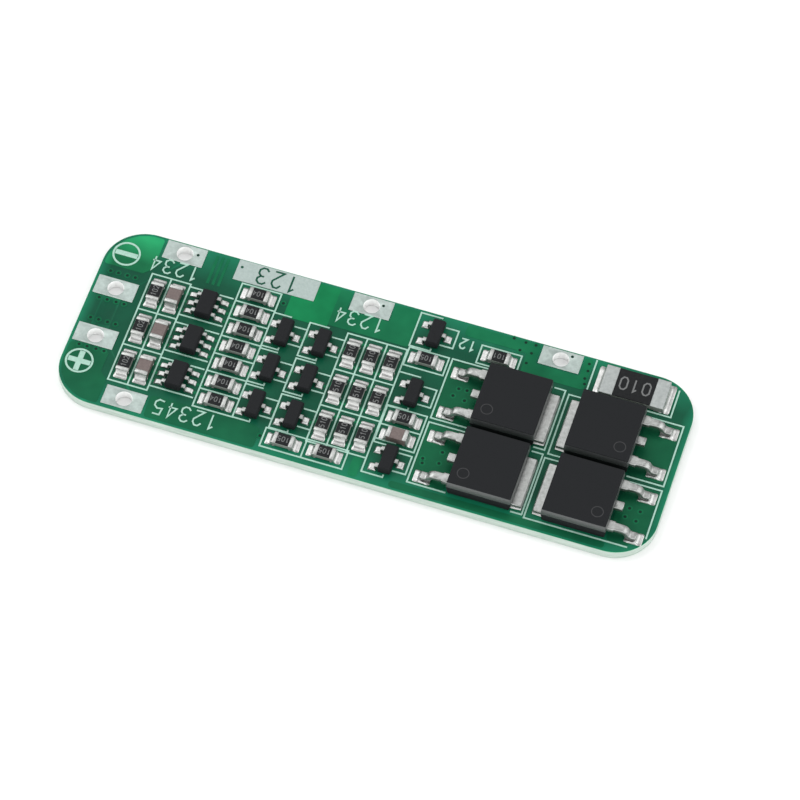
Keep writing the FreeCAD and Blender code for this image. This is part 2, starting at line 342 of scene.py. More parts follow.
def bump(tree, shader, value, depth):
    """Bump from a value, its depth in millimetres."""
    node = tree.nodes.new("ShaderNodeBump")
    node.inputs["Strength"].default_value = bump_strength
    node.inputs["Distance"].default_value = depth * MM
    tree.links.new(value, node.inputs["Height"])
    tree.links.new(node.outputs["Normal"], shader.inputs["Normal"])


def surface(name, dark, light, grain, rough, depth, metal=0.0, gloss=0.5):
    """Finish with grain: colour between two tones, roughness and bump from the same noise.

    grain is the size of the grain and depth the depth of its bump, in millimetres.
    """
    material, tree, shader = new_material(name)
    value = noise(tree, grain)
    tree.links.new(ramp(tree, value, dark, light), shader.inputs["Base Color"])
    tree.links.new(spread(tree, value, *rough), shader.inputs["Roughness"])
    shader.inputs["Metallic"].default_value = metal
    shader.inputs["Specular IOR Level"].default_value = gloss
    bump(tree, shader, value, depth)
    return material


def nearness(tree, coordinate, edge, band):
    """0 in the board's middle, rising to 1 across a band up to its edge."""
    distance = calculate(tree, "ABSOLUTE", coordinate)
    return spread(tree, distance, 0.0, 1.0, (edge - band) * MM, edge * MM)


def mask_colour(tree, dark, light, edge_sheen_gain):
    """Green mask, cloudy, with painted sheen that brightens it toward the board's edges."""
    cloud = noise(tree, mask_cloud, detail=3.0)
    colour = ramp(tree, cloud, dark, light)
    # Painted sheen: the same cloudy tones made brighter, blended in near the ends and sides
    edge_dark = [part * edge_sheen_gain for part in dark]
    edge_light = [part * edge_sheen_gain for part in light]
    bright = ramp(tree, cloud, edge_dark, edge_light)
    place = tree.nodes.new("ShaderNodeTexCoord")
    split = tree.nodes.new("ShaderNodeSeparateXYZ")
    tree.links.new(place.outputs["Object"], split.inputs["Vector"])
    near_end = nearness(tree, split.outputs["X"], board_high.x, end_band)
    near_side = nearness(tree, split.outputs["Y"], board_high.y, side_band)
    return blend(tree, calculate(tree, "MAXIMUM", near_end, near_side), colour, bright)


def copper_material(name, dark, light, edge_sheen_gain):
    """Mask over copper, which shines through it."""
    material, tree, shader = new_material(name)
    colour = mask_colour(tree, dark, light, edge_sheen_gain)
    tree.links.new(colour, shader.inputs["Base Color"])
    wave = noise(tree, copper_wave, detail=2.0)
    tree.links.new(spread(tree, wave, *copper_rough), shader.inputs["Roughness"])
    shader.inputs["Metallic"].default_value = copper_metal
    shader.inputs["Specular IOR Level"].default_value = mask_gloss
    bump(tree, shader, wave, copper_depth)
    return material


def board_material():
    """Green mask on the flat faces, brighter on their rim, pale laminate on the cut edge."""
    material, tree, shader = new_material("board")
    geometry = tree.nodes.new("ShaderNodeNewGeometry")
    normal = tree.nodes.new("ShaderNodeSeparateXYZ")
    tree.links.new(geometry.outputs["Normal"], normal.inputs["Vector"])
    upright = calculate(tree, "ABSOLUTE", normal.outputs["Z"])
    flat = spread(tree, upright, 0.0, 1.0, *flat_turn)
    rim = spread(tree, upright, 0.0, 1.0, *rim_turn)
    layers = noise(tree, laminate_grain, stretch=laminate_stretch)
    edge_colour = ramp(tree, layers, laminate_dark, laminate_light)
    cloud = noise(tree, mask_cloud, detail=3.0)
    rim_colour = ramp(tree, cloud, mask_light, mask_rim, 0.2, 0.5)
    outer_colour = blend(tree, rim, edge_colour, rim_colour)
    mask = mask_colour(tree, mask_dark, mask_light, mask_edge_sheen_gain)
    tree.links.new(blend(tree, flat, outer_colour, mask), shader.inputs["Base Color"])
    roughness = spread(tree, flat, laminate_rough, mask_rough)
    tree.links.new(roughness, shader.inputs["Roughness"])
    shader.inputs["Specular IOR Level"].default_value = mask_gloss
    bump(tree, shader, noise(tree, mask_grain, detail=2.0), mask_depth)
    return material


# Mask over copper: its tones, and how much painted sheen brightens them at the board's edges
# Its tones are copies of one finish, brighter or darker to paint each field's sheen or shade
copper_looks = {
    # Darkest copy: painted shade
    "shaded_copper": dict(dark=(0.003, 0.068, 0.031), light=(0.006, 0.105, 0.045), edge_sheen_gain=1.25),
    "plain_copper": dict(dark=(0.002, 0.09, 0.037), light=(0.007, 0.145, 0.059), edge_sheen_gain=1.25),
    "light_copper": dict(dark=(0.002, 0.123, 0.043), light=(0.005, 0.2, 0.069), edge_sheen_gain=1.0),
    # Brightest copy: painted glint
    "glinting_copper": dict(dark=(0.004, 0.1, 0.04), light=(0.01, 0.16, 0.06), edge_sheen_gain=2.5),
}

# Every other finish, with what surface() takes
looks = {
    # Dark disc for each via's hole: partly mask with no copper under it, partly painted shade of
    # the hole
    "via": dict(
        dark=(0.002, 0.02, 0.012), light=(0.003, 0.03, 0.018),
        grain=0.3, rough=(0.4, 0.5), depth=0.004, gloss=0.1,
    ),
    "mask_shade": dict(
        dark=(0.008, 0.06, 0.036), light=(0.012, 0.08, 0.048),
        grain=0.3, rough=(0.4, 0.5), depth=0.004, gloss=0.1,
    ),
    "print": dict(
        dark=(0.28, 0.46, 0.38), light=(0.36, 0.57, 0.48),
        grain=0.25, rough=(0.5, 0.65), depth=0.004,
    ),
    "print_block": dict(
        dark=(0.3, 0.37, 0.35), light=(0.37, 0.44, 0.42),
        grain=0.25, rough=(0.5, 0.65), depth=0.004,
    ),
    "tin": dict(
        dark=(0.31, 0.365, 0.345), light=(0.43, 0.5, 0.475),
        grain=0.4, rough=(0.36, 0.5), depth=0.006, metal=0.9,
    ),
    # Plated hole walls painted near white, paler than tin: painted light that brightens the holes
    "painted_light_hole_wall": dict(
        dark=(0.8, 0.81, 0.8), light=(0.93, 0.94, 0.93),
        grain=0.4, rough=(0.4, 0.55), depth=0.006,
    ),
    "shunt_cap": dict(
        dark=(0.32, 0.345, 0.34), light=(0.45, 0.475, 0.465),
        grain=0.4, rough=(0.4, 0.55), depth=0.005, metal=0.9,
    ),
    "solder": dict(
        dark=(0.38, 0.39, 0.38), light=(0.6, 0.6, 0.59),
        grain=0.6, rough=(0.3, 0.44), depth=0.003, metal=1.0,
    ),
    "lead": dict(
        dark=(0.27, 0.28, 0.27), light=(0.47, 0.48, 0.47),
        grain=0.4, rough=(0.3, 0.46), depth=0.007, metal=0.95,
    ),
    "cap": dict(
        dark=(0.36, 0.37, 0.36), light=(0.55, 0.56, 0.545),
        grain=0.3, rough=(0.3, 0.46), depth=0.005, metal=0.95,
    ),
    # The chips' white ceramic, painted dark grey: painted shade on its sides
    "shaded_ceramic": dict(
        dark=(0.15, 0.165, 0.15), light=(0.22, 0.24, 0.22),
        grain=0.1, rough=(0.5, 0.7), depth=0.003,
    ),
    "overcoat": dict(
        dark=(0.006, 0.007, 0.008), light=(0.013, 0.014, 0.015),
        grain=0.2, rough=(0.45, 0.6), depth=0.004, gloss=0.15,
    ),
    "capacitor": dict(
        dark=(0.1, 0.075, 0.07), light=(0.155, 0.12, 0.112),
        grain=0.15, rough=(0.4, 0.6), depth=0.004,
    ),
    "moulding": dict(
        dark=(0.006, 0.007, 0.008), light=(0.013, 0.014, 0.016),
        grain=0.09, rough=(0.6, 0.8), depth=0.01, gloss=0.18,
    ),
    # Walls of the power mouldings: smoother, and painted lighter than the top as painted sheen
    "sheen_moulding_wall": dict(
        dark=(0.044, 0.048, 0.048), light=(0.062, 0.067, 0.067),
        grain=0.2, rough=(0.3, 0.4), depth=0.003, gloss=1.0,
    ),
    "mark": dict(
        dark=(0.1, 0.105, 0.105), light=(0.17, 0.175, 0.175),
        grain=0.1, rough=(0.5, 0.7), depth=0.002,
    ),
    "faint_mark": dict(
        dark=(0.02, 0.021, 0.023), light=(0.034, 0.035, 0.037),
        grain=0.06, rough=(0.6, 0.8), depth=0.002,
    ),
}

materials = {"board": board_material()}
for name, look in copper_looks.items():
    materials[name] = copper_material(name, **look)
for name, look in looks.items():
    materials[name] = surface(name, **look)


# Mesh helpers

class Piece:
    """One visible piece: its mesh in the making and the finishes that it uses."""

    def __init__(self, name):
        self.name = name
        self.bm = bmesh.new()
        self.finishes = []

    def finish_index(self, finish):
        """Place of a finish among the piece's own, where it is added if it's new."""
        if finish not in self.finishes:
            self.finishes.append(finish)
        return self.finishes.index(finish)

    def absorb(self, bm, finish, wall_finish=None, turn_outward=True):
        """Add a finished mesh in one finish, or with another one on its walls."""
        index = self.finish_index(finish)
        wall_index = self.finish_index(wall_finish or finish)
        if turn_outward:
            bmesh.ops.recalc_face_normals(bm, faces=bm.faces)
        bm.normal_update()
        for face in bm.faces:
            is_wall = wall_from < face.normal.z < wall_to
            face.material_index = wall_index if is_wall else index
            face.smooth = True
        mesh = bpy.data.meshes.new("part")
        bm.to_mesh(mesh)
        bm.free()
        self.bm.from_mesh(mesh)
        bpy.data.meshes.remove(mesh)

    def place(self, record_slot, *nodes):
        """Make the object, let it ride on the board and stand for its CAD nodes."""
        mesh = bpy.data.meshes.new(self.name)
        self.bm.to_mesh(mesh)
        self.bm.free()
        mesh.set_sharp_from_angle(angle=math.radians(shaded_angle))
        for finish in self.finishes:
            mesh.materials.append(materials[finish])
        piece = bpy.data.objects.new(self.name, mesh)
        bpy.context.scene.collection.objects.link(piece)
        piece.modifiers.new("normals", "WEIGHTED_NORMAL").keep_sharp = True
        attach(piece, "root")
        if nodes:
            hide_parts(*nodes)


def solids_of(node):
    """The closed solids of a CAD node, each a list of triangles of (x, y, z) corners."""
    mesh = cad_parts[node].data
    found = []
    triangles = []
    open_edges = set()
    for polygon in mesh.polygons:
        places = [mesh.vertices[index].co for index in polygon.vertices]
        corners = [tuple(round(c, corner_decimals) for c in place) for place in places]
        triangles.append(corners)
        for pair in zip(corners, corners[1:] + corners[:1]):
            open_edges ^= {frozenset(pair)}
        if not open_edges:
            found.append(triangles)
            triangles = []
    return found


def solid_box(triangles):
    """Lowest and highest corner of one solid, in millimetres."""
    points = [corner for triangle in triangles for corner in triangle]
    low = [min(p[axis] for p in points) / MM for axis in range(3)]
    high = [max(p[axis] for p in points) / MM for axis in range(3)]
    return low, high


def rounded_solid(triangles, edge):
    """The solid's own form with its sharp edges rounded to a width in millimetres."""
    bm = bmesh.new()
    corners = {}
    for triangle in triangles:
        for corner in triangle:
            if corner not in corners:
                corners[corner] = bm.verts.new(corner)
        bm.faces.new([corners[corner] for corner in triangle])
    bmesh.ops.dissolve_limit(
        bm, angle_limit=math.radians(kept_angle), verts=bm.verts, edges=bm.edges
    )
    least = math.radians(rounded_angle)
    sharp = [e for e in bm.edges if e.is_manifold and e.calc_face_angle() > least]
    bmesh.ops.bevel(
        bm, geom=sharp, offset=edge * MM, segments=edge_steps, profile=0.5,
        affect="EDGES", clamp_overlap=True,
    )
    return bm


def ribbon(bm, points, width, low, high, closed=False):
    """Raised line along points in the board's plane, mitred at its corners."""
    line = [Vector(point) for point in points]
    count = len(line)
    rails = []
    for index, point in enumerate(line):
        before = line[index - 1] if index or closed else None
        after = line[(index + 1) % count] if index < count - 1 or closed else None
        ahead = (after - point).normalized() if after else (point - before).normalized()
        back = (point - before).normalized() if before else ahead
        across = (ahead + back).normalized().orthogonal()
        reach = width / 2 / max(across.dot(ahead.orthogonal()), mitre_limit)
        left = point + across * reach
        right = point - across * reach
        section = ((left, low), (left, high), (right, high), (right, low))
        rails.append([bm.verts.new((p.x * MM, p.y * MM, z * MM)) for p, z in section])
    last = count if closed else count - 1
    for index in range(last):
        here = rails[index]
        there = rails[(index + 1) % count]
        for side in range(4):
            following = (side + 1) % 4
            bm.faces.new((here[side], there[side], there[following], here[following]))
    if not closed:
        bm.faces.new(rails[0])
        bm.faces.new(rails[-1][::-1])


def circle(centre, radius, sides=circle_sides):
    """Points of a circle in the board's plane."""
    turns = [2 * math.pi * i / sides for i in range(sides)]
    return [(centre[0] + radius * math.cos(t), centre[1] + radius * math.sin(t)) for t in turns]


def rectangle(left, right, bottom, top):
    """Corners of a rectangle in the board's plane."""
    return [(left, bottom), (right, bottom), (right, top), (left, top)]


def rounded_outline(corners):
    """An outline with each corner turned into an arc: a corner may give its own radius."""
    outline = []
    count = len(corners)
    for index, corner in enumerate(corners):
        radius = corner[2] if len(corner) > 2 else field_corner
        here = Vector(corner[:2])
        back = (Vector(corners[index - 1][:2]) - here).normalized()
        ahead = (Vector(corners[(index + 1) % count][:2]) - here).normalized()
        half = back.angle(ahead) / 2
        reach = radius / math.tan(half)
        start = here + back * reach
        end = here + ahead * reach
        centre = here + (back + ahead).normalized() * (radius / math.sin(half))
        for step in range(corner_steps + 1):
            spoke = (start - centre).lerp(end - centre, step / corner_steps).normalized()
            point = centre + spoke * radius
            outline.append((point.x, point.y))
    return outline


def plate(bm, outline, low, high):
    """Flat plate with upright sides over an outline in the board's plane."""
    base = [bm.verts.new((x * MM, y * MM, low * MM)) for x, y in outline]
    top = [bm.verts.new((x * MM, y * MM, high * MM)) for x, y in outline]
    count = len(outline)
    for index in range(count):
        following = (index + 1) % count
        bm.faces.new((base[index], base[following], top[following], top[index]))
    bm.faces.new(top)
    bm.faces.new(base[::-1])


# Digits as strokes in a box one wide and two high
digit_strokes = {
    "0": [[
        (0, 0.4), (0, 1.6), (0.3, 2), (0.7, 2), (1, 1.6), (1, 0.4), (0.7, 0), (0.3, 0), (0, 0.4),
    ]],
    "1": [[(0.2, 1.6), (0.6, 2), (0.6, 0)]],
    "2": [[(0, 1.6), (0.3, 2), (0.7, 2), (1, 1.6), (1, 1.2), (0, 0), (1, 0)]],
    "3": [
        [(0, 1.7), (0.3, 2), (0.7, 2), (1, 1.7), (1, 1.35), (0.7, 1.05), (0.35, 1.05)],
        [(0.7, 1.05), (1, 0.75), (1, 0.3), (0.7, 0), (0.3, 0), (0, 0.3)],
    ],
    "4": [[(0.75, 0), (0.75, 2), (0, 0.6), (1, 0.6)]],
    "5": [[(0.95, 2), (0.1, 2), (0, 1.1), (0.6, 1.2), (1, 0.85), (1, 0.35), (0.65, 0), (0, 0.1)]],
}


def digits(bm, text, centre, height, stroke, low, high, turn):
    """A plain number about a centre, turned by degrees."""
    scale = height / 2
    advance = scale * digit_advance
    angle = math.radians(turn)
    start = -(len(text) - 1) * advance / 2 - scale / 2
    for place, digit in enumerate(text):
        for line in digit_strokes[digit]:
            points = []
            for x, y in line:
                across = start + place * advance + x * scale
                up = (y - 1) * scale
                points.append((
                    centre[0] + across * math.cos(angle) - up * math.sin(angle),
                    centre[1] + across * math.sin(angle) + up * math.cos(angle),
                ))
            ribbon(bm, points, stroke, low, high)


# Components

def dress(node, finishes, edges, record_slot, extra=None, wall_finish=None):
    """A component in the form of its CAD node, each solid with its own finish and rounding.

    The last finish and rounding also serve the solids that are left. The solids' faces
    already look outward.
    """
    piece = Piece(f"look_{node}")
    last = len(finishes) - 1
    for index, triangles in enumerate(solids_of(node)):
        kind = min(index, last)
        rounded = rounded_solid(triangles, edges[kind])
        piece.absorb(rounded, finishes[kind], wall_finish, turn_outward=False)
    if extra:
        extra(piece, node)
    piece.place(record_slot, node)


def code_on_top(text, height, stroke):
    """A printed number on the overcoat of a chip, along its length."""
    def add(piece, node):
        low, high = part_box(node)
        upright = high.y - low.y > high.x - low.x
        turn = 90 if upright else 180
        top = high.z / MM
        bottom = top - mark_depth
        bm = bmesh.new()
        digits(bm, text, node_centre(node), height, stroke, bottom, top + mark_rise, turn)
        piece.absorb(bm, "mark")
    return add


def mould_mark(piece, node):
    """Faint ring of the mould's ejector pin on a power transistor's top."""
    x, y = node_centre(node)
    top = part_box(node)[1].z / MM
    leadframe = node.removesuffix("_body") + "_leadframe"
    side = -1 if node_centre(leadframe)[0] < x else 1
    centre = (x + side * mould_mark_inset, y - mould_mark_inset)
    ring = circle(centre, mould_mark_radius, mould_mark_sides)
    bm = bmesh.new()
    ribbon(bm, ring, mould_mark_width, top - mark_depth, top + faint_mark_rise, closed=True)
    piece.absorb(bm, "faint_mark")


def build_components():
    """Every component in its CAD form with finishes, rounding and codes."""
    chip_edges = (ceramic_edge, cap_edge, cap_edge, overcoat_edge)
    # The ceramic block takes the dark grey of painted shade
    chip_finishes = ("shaded_ceramic", "cap", "cap", "overcoat")
    codes = {
        "filter_resistor": "102",
        "divider_resistor": "104",
        "balance_resistor": "510",
        "lower_resistor": "105",
        "control_resistor": "105",
        "gate_resistor": "101",
    }
    for start, code in codes.items():
        for node in node_names(start):
            extra = code_on_top(code, code_height, code_stroke)
            dress(node, chip_finishes, chip_edges, "resistor_overcoat", extra)
    extra = code_on_top("010", shunt_code_height, shunt_code_stroke)
    shunt_finishes = ("shaded_ceramic", "shunt_cap", "shunt_cap", "overcoat")
    dress("current_shunt", shunt_finishes, chip_edges, "resistor_overcoat", extra)
    for node in node_names("filter_capacitor") + ["control_capacitor"]:
        dress(node, ("capacitor", "cap"), (overcoat_edge, cap_edge), "capacitor_ceramic")
    for start in ("switch_transistor", "balance_transistor", "control_transistor", "protection_ic"):
        for node in node_names(start):
            edges = (small_mould_edge, small_lead_edge)
            dress(node, ("moulding", "lead"), edges, "moulding_black")
    for node in node_names("power_transistor"):
        if node.endswith("_body"):
            # Its walls take a lighter copy of the moulding: painted sheen
            dress(
                node, ("moulding",), (power_mould_edge,), "moulding_black",
                mould_mark, "sheen_moulding_wall",
            )
        else:
            dress(node, ("lead",), (power_lead_edge,), "tinned_copper")


def build_board():
    """The laminate and its plated terminals."""
    dress("circuit_board", ("board",), (board_edge,), "laminate")
    for node in node_names("terminal_"):
        # Their hole walls take the near white of painted light
        dress(node, ("tin",), (land_edge,), "tinned_copper", wall_finish="painted_light_hole_wall")


# Solder

def read_joint(triangles):
    """Where a CAD solder joint lies, in millimetres.

    The joint's axis runs from its back, under the foot, past the foot's end to its toe, and
    out is its direction along that axis. Middle and half width lie across it, and climb
    is its height above the seat.
    """
    points = {tuple(c / MM for c in corner) for triangle in triangles for corner in triangle}
    low = min(p[2] for p in points)
    climb = max(p[2] for p in points)
    apex = [p for p in points if p[2] > climb - match]
    axis = 0 if max(p[0] for p in apex) - min(p[0] for p in apex) < match else 1
    end = apex[0][axis]
    ends = min(p[axis] for p in points), max(p[axis] for p in points)
    raised = [p[axis] for p in points if low + match < p[2] < climb - match]
    back = ends[0] if min(raised) - ends[0] < match else ends[1]
    toe = ends[1] if back == ends[0] else ends[0]
    sides = min(p[1 - axis] for p in points), max(p[1 - axis] for p in points)
    return {
        "axis": axis,
        "out": 1 if toe > back else -1,
        "end": end,
        "under": abs(end - back),
        "reach": abs(toe - end),
        "middle": (sides[0] + sides[1]) / 2,
        "half_width": (sides[1] - sides[0]) / 2,
        "climb": climb - seat,
    }


def read_feet():
    """Boxes of the solids that stand on solder: lead feet, end caps and drain plates."""
    feet = []
    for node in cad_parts:
        if node.startswith(("circuit", "terminal", "solder")):
            continue
        for triangles in solids_of(node):
            low, high = solid_box(triangles)
            if abs(low[2] - seat) < match:
                feet.append((low, high))
    return feet


def foot_half_width(joint, feet):
    """Half the width of the foot whose end meets the joint."""
    axis = joint["axis"]
    for low, high in feet:
        inside = low[1 - axis] < joint["middle"] < high[1 - axis]
        gap = min(abs(low[axis] - joint["end"]), abs(high[axis] - joint["end"]))
        if inside and gap < end_match:
            return min((high[1 - axis] - low[1 - axis]) / 2, joint["half_width"] * widest_foot)
    return joint["half_width"] * missing_foot


def solder_height(climb, away):
    """Height of the solder: a dome about a thin lead, a hollow fillet against a tall end."""
    if climb < low_climb:
        return (climb + solder_cover) * (1 - away ** solder_dome)
    return solder_rest + (climb - solder_rest) * (1 - away) ** solder_hollow


def solder_rows(joint, foot_half):
    """Points (outward, across, height) of the wet meniscus over one land.

    It climbs the foot, whose end lies at 0 outward, and thins out to the land's edge.
    """
    under, reach, half = joint["under"], joint["reach"], joint["half_width"]
    outward = [-under + under * i / solder_steps_under for i in range(solder_steps_under)]
    outward += [reach * i / solder_steps_out for i in range(solder_steps_out + 1)]
    sides = max(half - foot_half, least_side)
    phase = random.uniform(0, 6)
    rows = []
    for u in outward:
        along = 2 * (u + under) / (under + reach) - 1
        fullness = max(1 - abs(along) ** land_end_power, 0.0) ** land_end_root
        narrowing = fullness * land_end_narrowing + (1 - land_end_narrowing)
        row = []
        for j in range(solder_steps_across + 1):
            v = half * narrowing * (2 * j / solder_steps_across - 1)
            beyond = max(u / reach, 2 * (-u / under) - 1, 0)
            beside = max(abs(v) - foot_half, 0) / sides
            away = min((beyond ** 3 + beside ** 3) ** (1 / 3), 1.0)
            wave = solder_ripple * math.sin(3 * u / reach + 2 * v / half + phase)
            height = solder_height(joint["climb"], away) + wave * (1 - away)
            if u < 0 and abs(v) < foot_half and joint["climb"] > low_climb:
                height = 0.0
            row.append((u, v, seat + height))
        rows.append(row)
    return rows


def solder_surface(bm, joint, foot_half):
    """Solder on one land: the meniscus, with a low lip all round, closed by sides and a floor."""
    grid = solder_rows(joint, foot_half)
    lip = board_top + solder_lip
    for row in grid:
        for j in (0, -1):
            row[j] = (row[j][0], row[j][1], lip)
    for i in (0, -1):
        grid[i] = [(u, v, lip) for u, v, z in grid[i]]

    def vertex(u, v, z):
        outer = joint["end"] + joint["out"] * u
        across = joint["middle"] + v
        x, y = (outer, across) if joint["axis"] == 0 else (across, outer)
        return bm.verts.new((x * MM, y * MM, z * MM))

    verts = [[vertex(*point) for point in row] for row in grid]
    last_row = len(grid) - 1
    last = solder_steps_across
    for i in range(last_row):
        for j in range(last):
            bm.faces.new((verts[i][j], verts[i + 1][j], verts[i + 1][j + 1], verts[i][j + 1]))
    border = [(i, 0) for i in range(last_row + 1)]
    border += [(last_row, j) for j in range(1, last + 1)]
    border += [(i, last) for i in range(last_row - 1, -1, -1)]
    border += [(0, j) for j in range(last - 1, 0, -1)]
    floor = [vertex(grid[i][j][0], grid[i][j][1], board_top) for i, j in border]
    for k, (i, j) in enumerate(border):
        following = (k + 1) % len(border)
        next_i, next_j = border[following]
        bm.faces.new((verts[i][j], floor[k], floor[following], verts[next_i][next_j]))
    bm.faces.new(floor)


def build_solder():
    """All solder joints as one piece."""
    piece = Piece("look_solder")
    feet = read_feet()
    bm = bmesh.new()
    for triangles in solids_of("solder_joints"):
        joint = read_joint(triangles)
        solder_surface(bm, joint, foot_half_width(joint, feet))
    piece.absorb(bm, "solder")
    piece.place("solder", "solder_joints")


# Print

class Ink:
    """Printed lines, each a hair higher than the last so that crossings stay clean."""

    def __init__(self):
        self.bm = bmesh.new()
        self.count = 0

    def top(self):
        """Height of the next line's top."""
        self.count += 1
        return board_top + print_rise + self.count * layer_step

    def line(self, *points, width=line_width, closed=False):
        """A line along points."""
        ribbon(self.bm, points, width, board_top, self.top(), closed)

    def grid(self, columns, rows, half_x, half_y):
        """Frame and dividing lines around parts in columns and rows."""
        left, right = columns[0] - half_x, columns[-1] + half_x
        bottom, top = rows[0] - half_y, rows[-1] + half_y
        self.line(*rectangle(left, right, bottom, top), closed=True)
        for a, b in zip(columns, columns[1:]):
            self.line(((a + b) / 2, bottom), ((a + b) / 2, top))
        for a, b in zip(rows, rows[1:]):
            self.line((left, (a + b) / 2), (right, (a + b) / 2))


def grid_around(ink, names, frame_half):
    """Frame and dividing lines around a block of chips. Gives the frame's right side."""
    places = [node_centre(name) for name in names]
    columns = sorted({round(x, 2) for x, y in places})
    rows = sorted({round(y, 2) for x, y in places})
    half_x, half_y = frame_half
    ink.grid(columns, rows, half_x, half_y)
    return columns[-1] + half_x


def transistor_outline(ink, node, left):
    """Open outline of a small transistor: its two-lead side and a bracket at its one lead."""
    x, y = node_centre(node)
    top, bottom, tick = y + 2.15, y - 1.75, 0.28
    top_end, body_side, right = x + 0.1, x + 0.65, x + 1.95
    above, below = y + 1.25, y - 0.8
    ink.line((top_end, top), (left, top), (left, bottom), (x, bottom), (x, bottom + tick))
    ink.line((body_side, above), (right, above), (right, below), (body_side, below))


def circuit_outline(ink, node):
    """Corner lines of a protection circuit."""
    x, y = node_centre(node)
    left, right = x - 2.25, x + 2.15
    top, bottom, tick = y + 1.75, y - 1.55, 0.25
    left_end, right_end = x - 0.95, x + 0.75
    ink.line((left, top), (left_end, top), (left_end, top - tick))
    ink.line((right_end, top), (right, top))
    ink.line((left, bottom), (right, bottom))


def power_outline(ink, number, left, right, above, below, cut):
    """Frame of a power transistor, open beside its moulding.

    With a cut, at the board's rounded corner, its two lines stop short of the corner and
    it's closed below the moulding.
    """
    x, y = node_centre(f"power_transistor_{number}_body")
    low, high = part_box(f"power_transistor_{number}_body")
    near, far = low.x / MM, high.x / MM
    top, bottom = y + above, y - below
    if cut:
        ink.line((far, top), (x + right, top), (x + right, bottom + cut))
        ink.line((x + right - cut, bottom), (x - left, bottom), (x - left, top), (near, top))
    else:
        ink.line((near, top), (x - left, top), (x - left, bottom), (near, bottom))
        ink.line((far, top), (x + right, top), (x + right, bottom), (far, bottom))


def shunt_outline(ink):
    """A line to the left of the shunt and a corner to its right."""
    x, y = node_centre("current_shunt")
    left, right, bottom_end = x - 4.3, x + 4.05, x + 1.7
    bottom = y - 1.85
    ink.line((left, y + 2.1), (left, y - 1.4))
    ink.line((right, y + 1.3), (right, bottom), (bottom_end, bottom))


def polarity_marks(ink):
    """A minus and a plus, each in a ring."""
    for x, y in (minus_centre, plus_centre):
        ink.line(*circle((x, y), mark_ring_radius), width=mark_ring_width, closed=True)
        ink.line((x - mark_bar_half, y), (x + mark_bar_half, y), width=mark_bar_width)
    x, y = plus_centre
    ink.line((x, y - mark_bar_half), (x, y + mark_bar_half), width=mark_bar_width)


def build_print():
    """White print: grids, outlines, polarity marks, numbers and the solid block."""
    ink = Ink()
    grid_around(ink, node_names("filter_"), filter_frame)
    balance_side = grid_around(ink, node_names("balance_resistor"), balance_frame)
    divider_side = grid_around(ink, node_names("divider_resistor"), divider_frame)
    grid_around(ink, node_names("lower_resistor"), lower_frame)
    control_pair = ["control_resistor_2", "control_capacitor"]
    for names in (control_pair, ["control_resistor_1"], ["gate_resistor"]):
        grid_around(ink, names, single_frame)
    for node in node_names("switch_transistor"):
        transistor_outline(ink, node, divider_side)
    for node in node_names("balance_transistor"):
        transistor_outline(ink, node, node_centre(node)[0] - balance_outline_reach)
    for node in node_names("control_transistor"):
        transistor_outline(ink, node, balance_side)
    for node in node_names("protection_ic"):
        circuit_outline(ink, node)
    for number, sides in power_frames.items():
        power_outline(ink, number, *sides)
    shunt_outline(ink)
    polarity_marks(ink)
    for text, centre, height in labels:
        digits(ink.bm, text, centre, height, label_stroke, board_top, ink.top(), label_turn)

    block = bmesh.new()
    block_top = ink.top()
    plate(block, rectangle(*block_sides), board_top, block_top)
    shade = bmesh.new()
    top = block_top + layer_step * block_shade_layers
    digits(
        shade, "123", block_number_centre, block_number_height, block_stroke,
        board_top, top, label_turn,
    )
    plate(shade, circle(block_dot_centre, via_radius, via_sides), board_top, top)
    piece = Piece("print")
    piece.absorb(ink.bm, "print")
    piece.absorb(block, "print_block")
    piece.absorb(shade, "mask_shade")
    piece.place("laminate")


# Tracks and vias

def copper_fields():
    """Copper fields under the mask, each with its tone and outline, by region of the board. The
    tones paint each field's sheen or shade.
    """
    left, right = board_low.x + rim_margin, board_high.x - rim_margin
    bottom, top = board_low.y + rim_margin, board_high.y - rim_margin
    bend = board_corner_radius - rim_margin
    fields = {
        "glinting_copper": [
            [(left, 5.4), (-25.2, 5.4), (-24.4, 6.2), (-24.4, top), (left, top, bend)],
        ],
        "plain_copper": [
            [(0.3, bottom), (1.2, bottom), (1.2, -7.6), (0.3, -7.6)],
            [
                (-8.4, 5.5), (1.4, 5.5), (1.4, top), (-1.1, top),
                (-1.1, 7.65), (-5.4, 7.65), (-5.4, top), (-8.4, top),
            ],
            [
                (6.1, 8.5), (12.3, 8.5), (12.3, 6.2), (18.6, 6.2), (18.6, top),
                (17.8, top), (17.8, 7.6), (13.4, 7.6), (13.4, top), (6.1, top),
            ],
        ],
        "light_copper": [rectangle(-10.9, -6.6, 5.1, top)],
        "shaded_copper": [
            [
                (left, bottom, bend), (-24.4, bottom), (-24.4, -7.1),
                (-25.2, -6.3), (-25.2, -4.0), (left, -4.0),
            ],
            [(-19.8, bottom), (-8.9, bottom), (-8.9, -7.6), (-9.6, -7.3), (-19.8, -7.3)],
            [(4.3, bottom), (right - bend, bottom), (right - bend, -9.05), (4.3, -9.05)],
            rectangle(5.95, 9.4, -1.15, 5.4),
            rectangle(5.95, 9.4, -8.55, -2.0),
            rectangle(25.2, 28.5, -1.4, 5.1),
            [(25.2, -8.8), (27.1, -8.8), (28.5, -7.4), (28.5, -2.3), (25.2, -2.3)],
        ],
    }
    return [(tone, outline) for tone, outlines in fields.items() for outline in outlines]


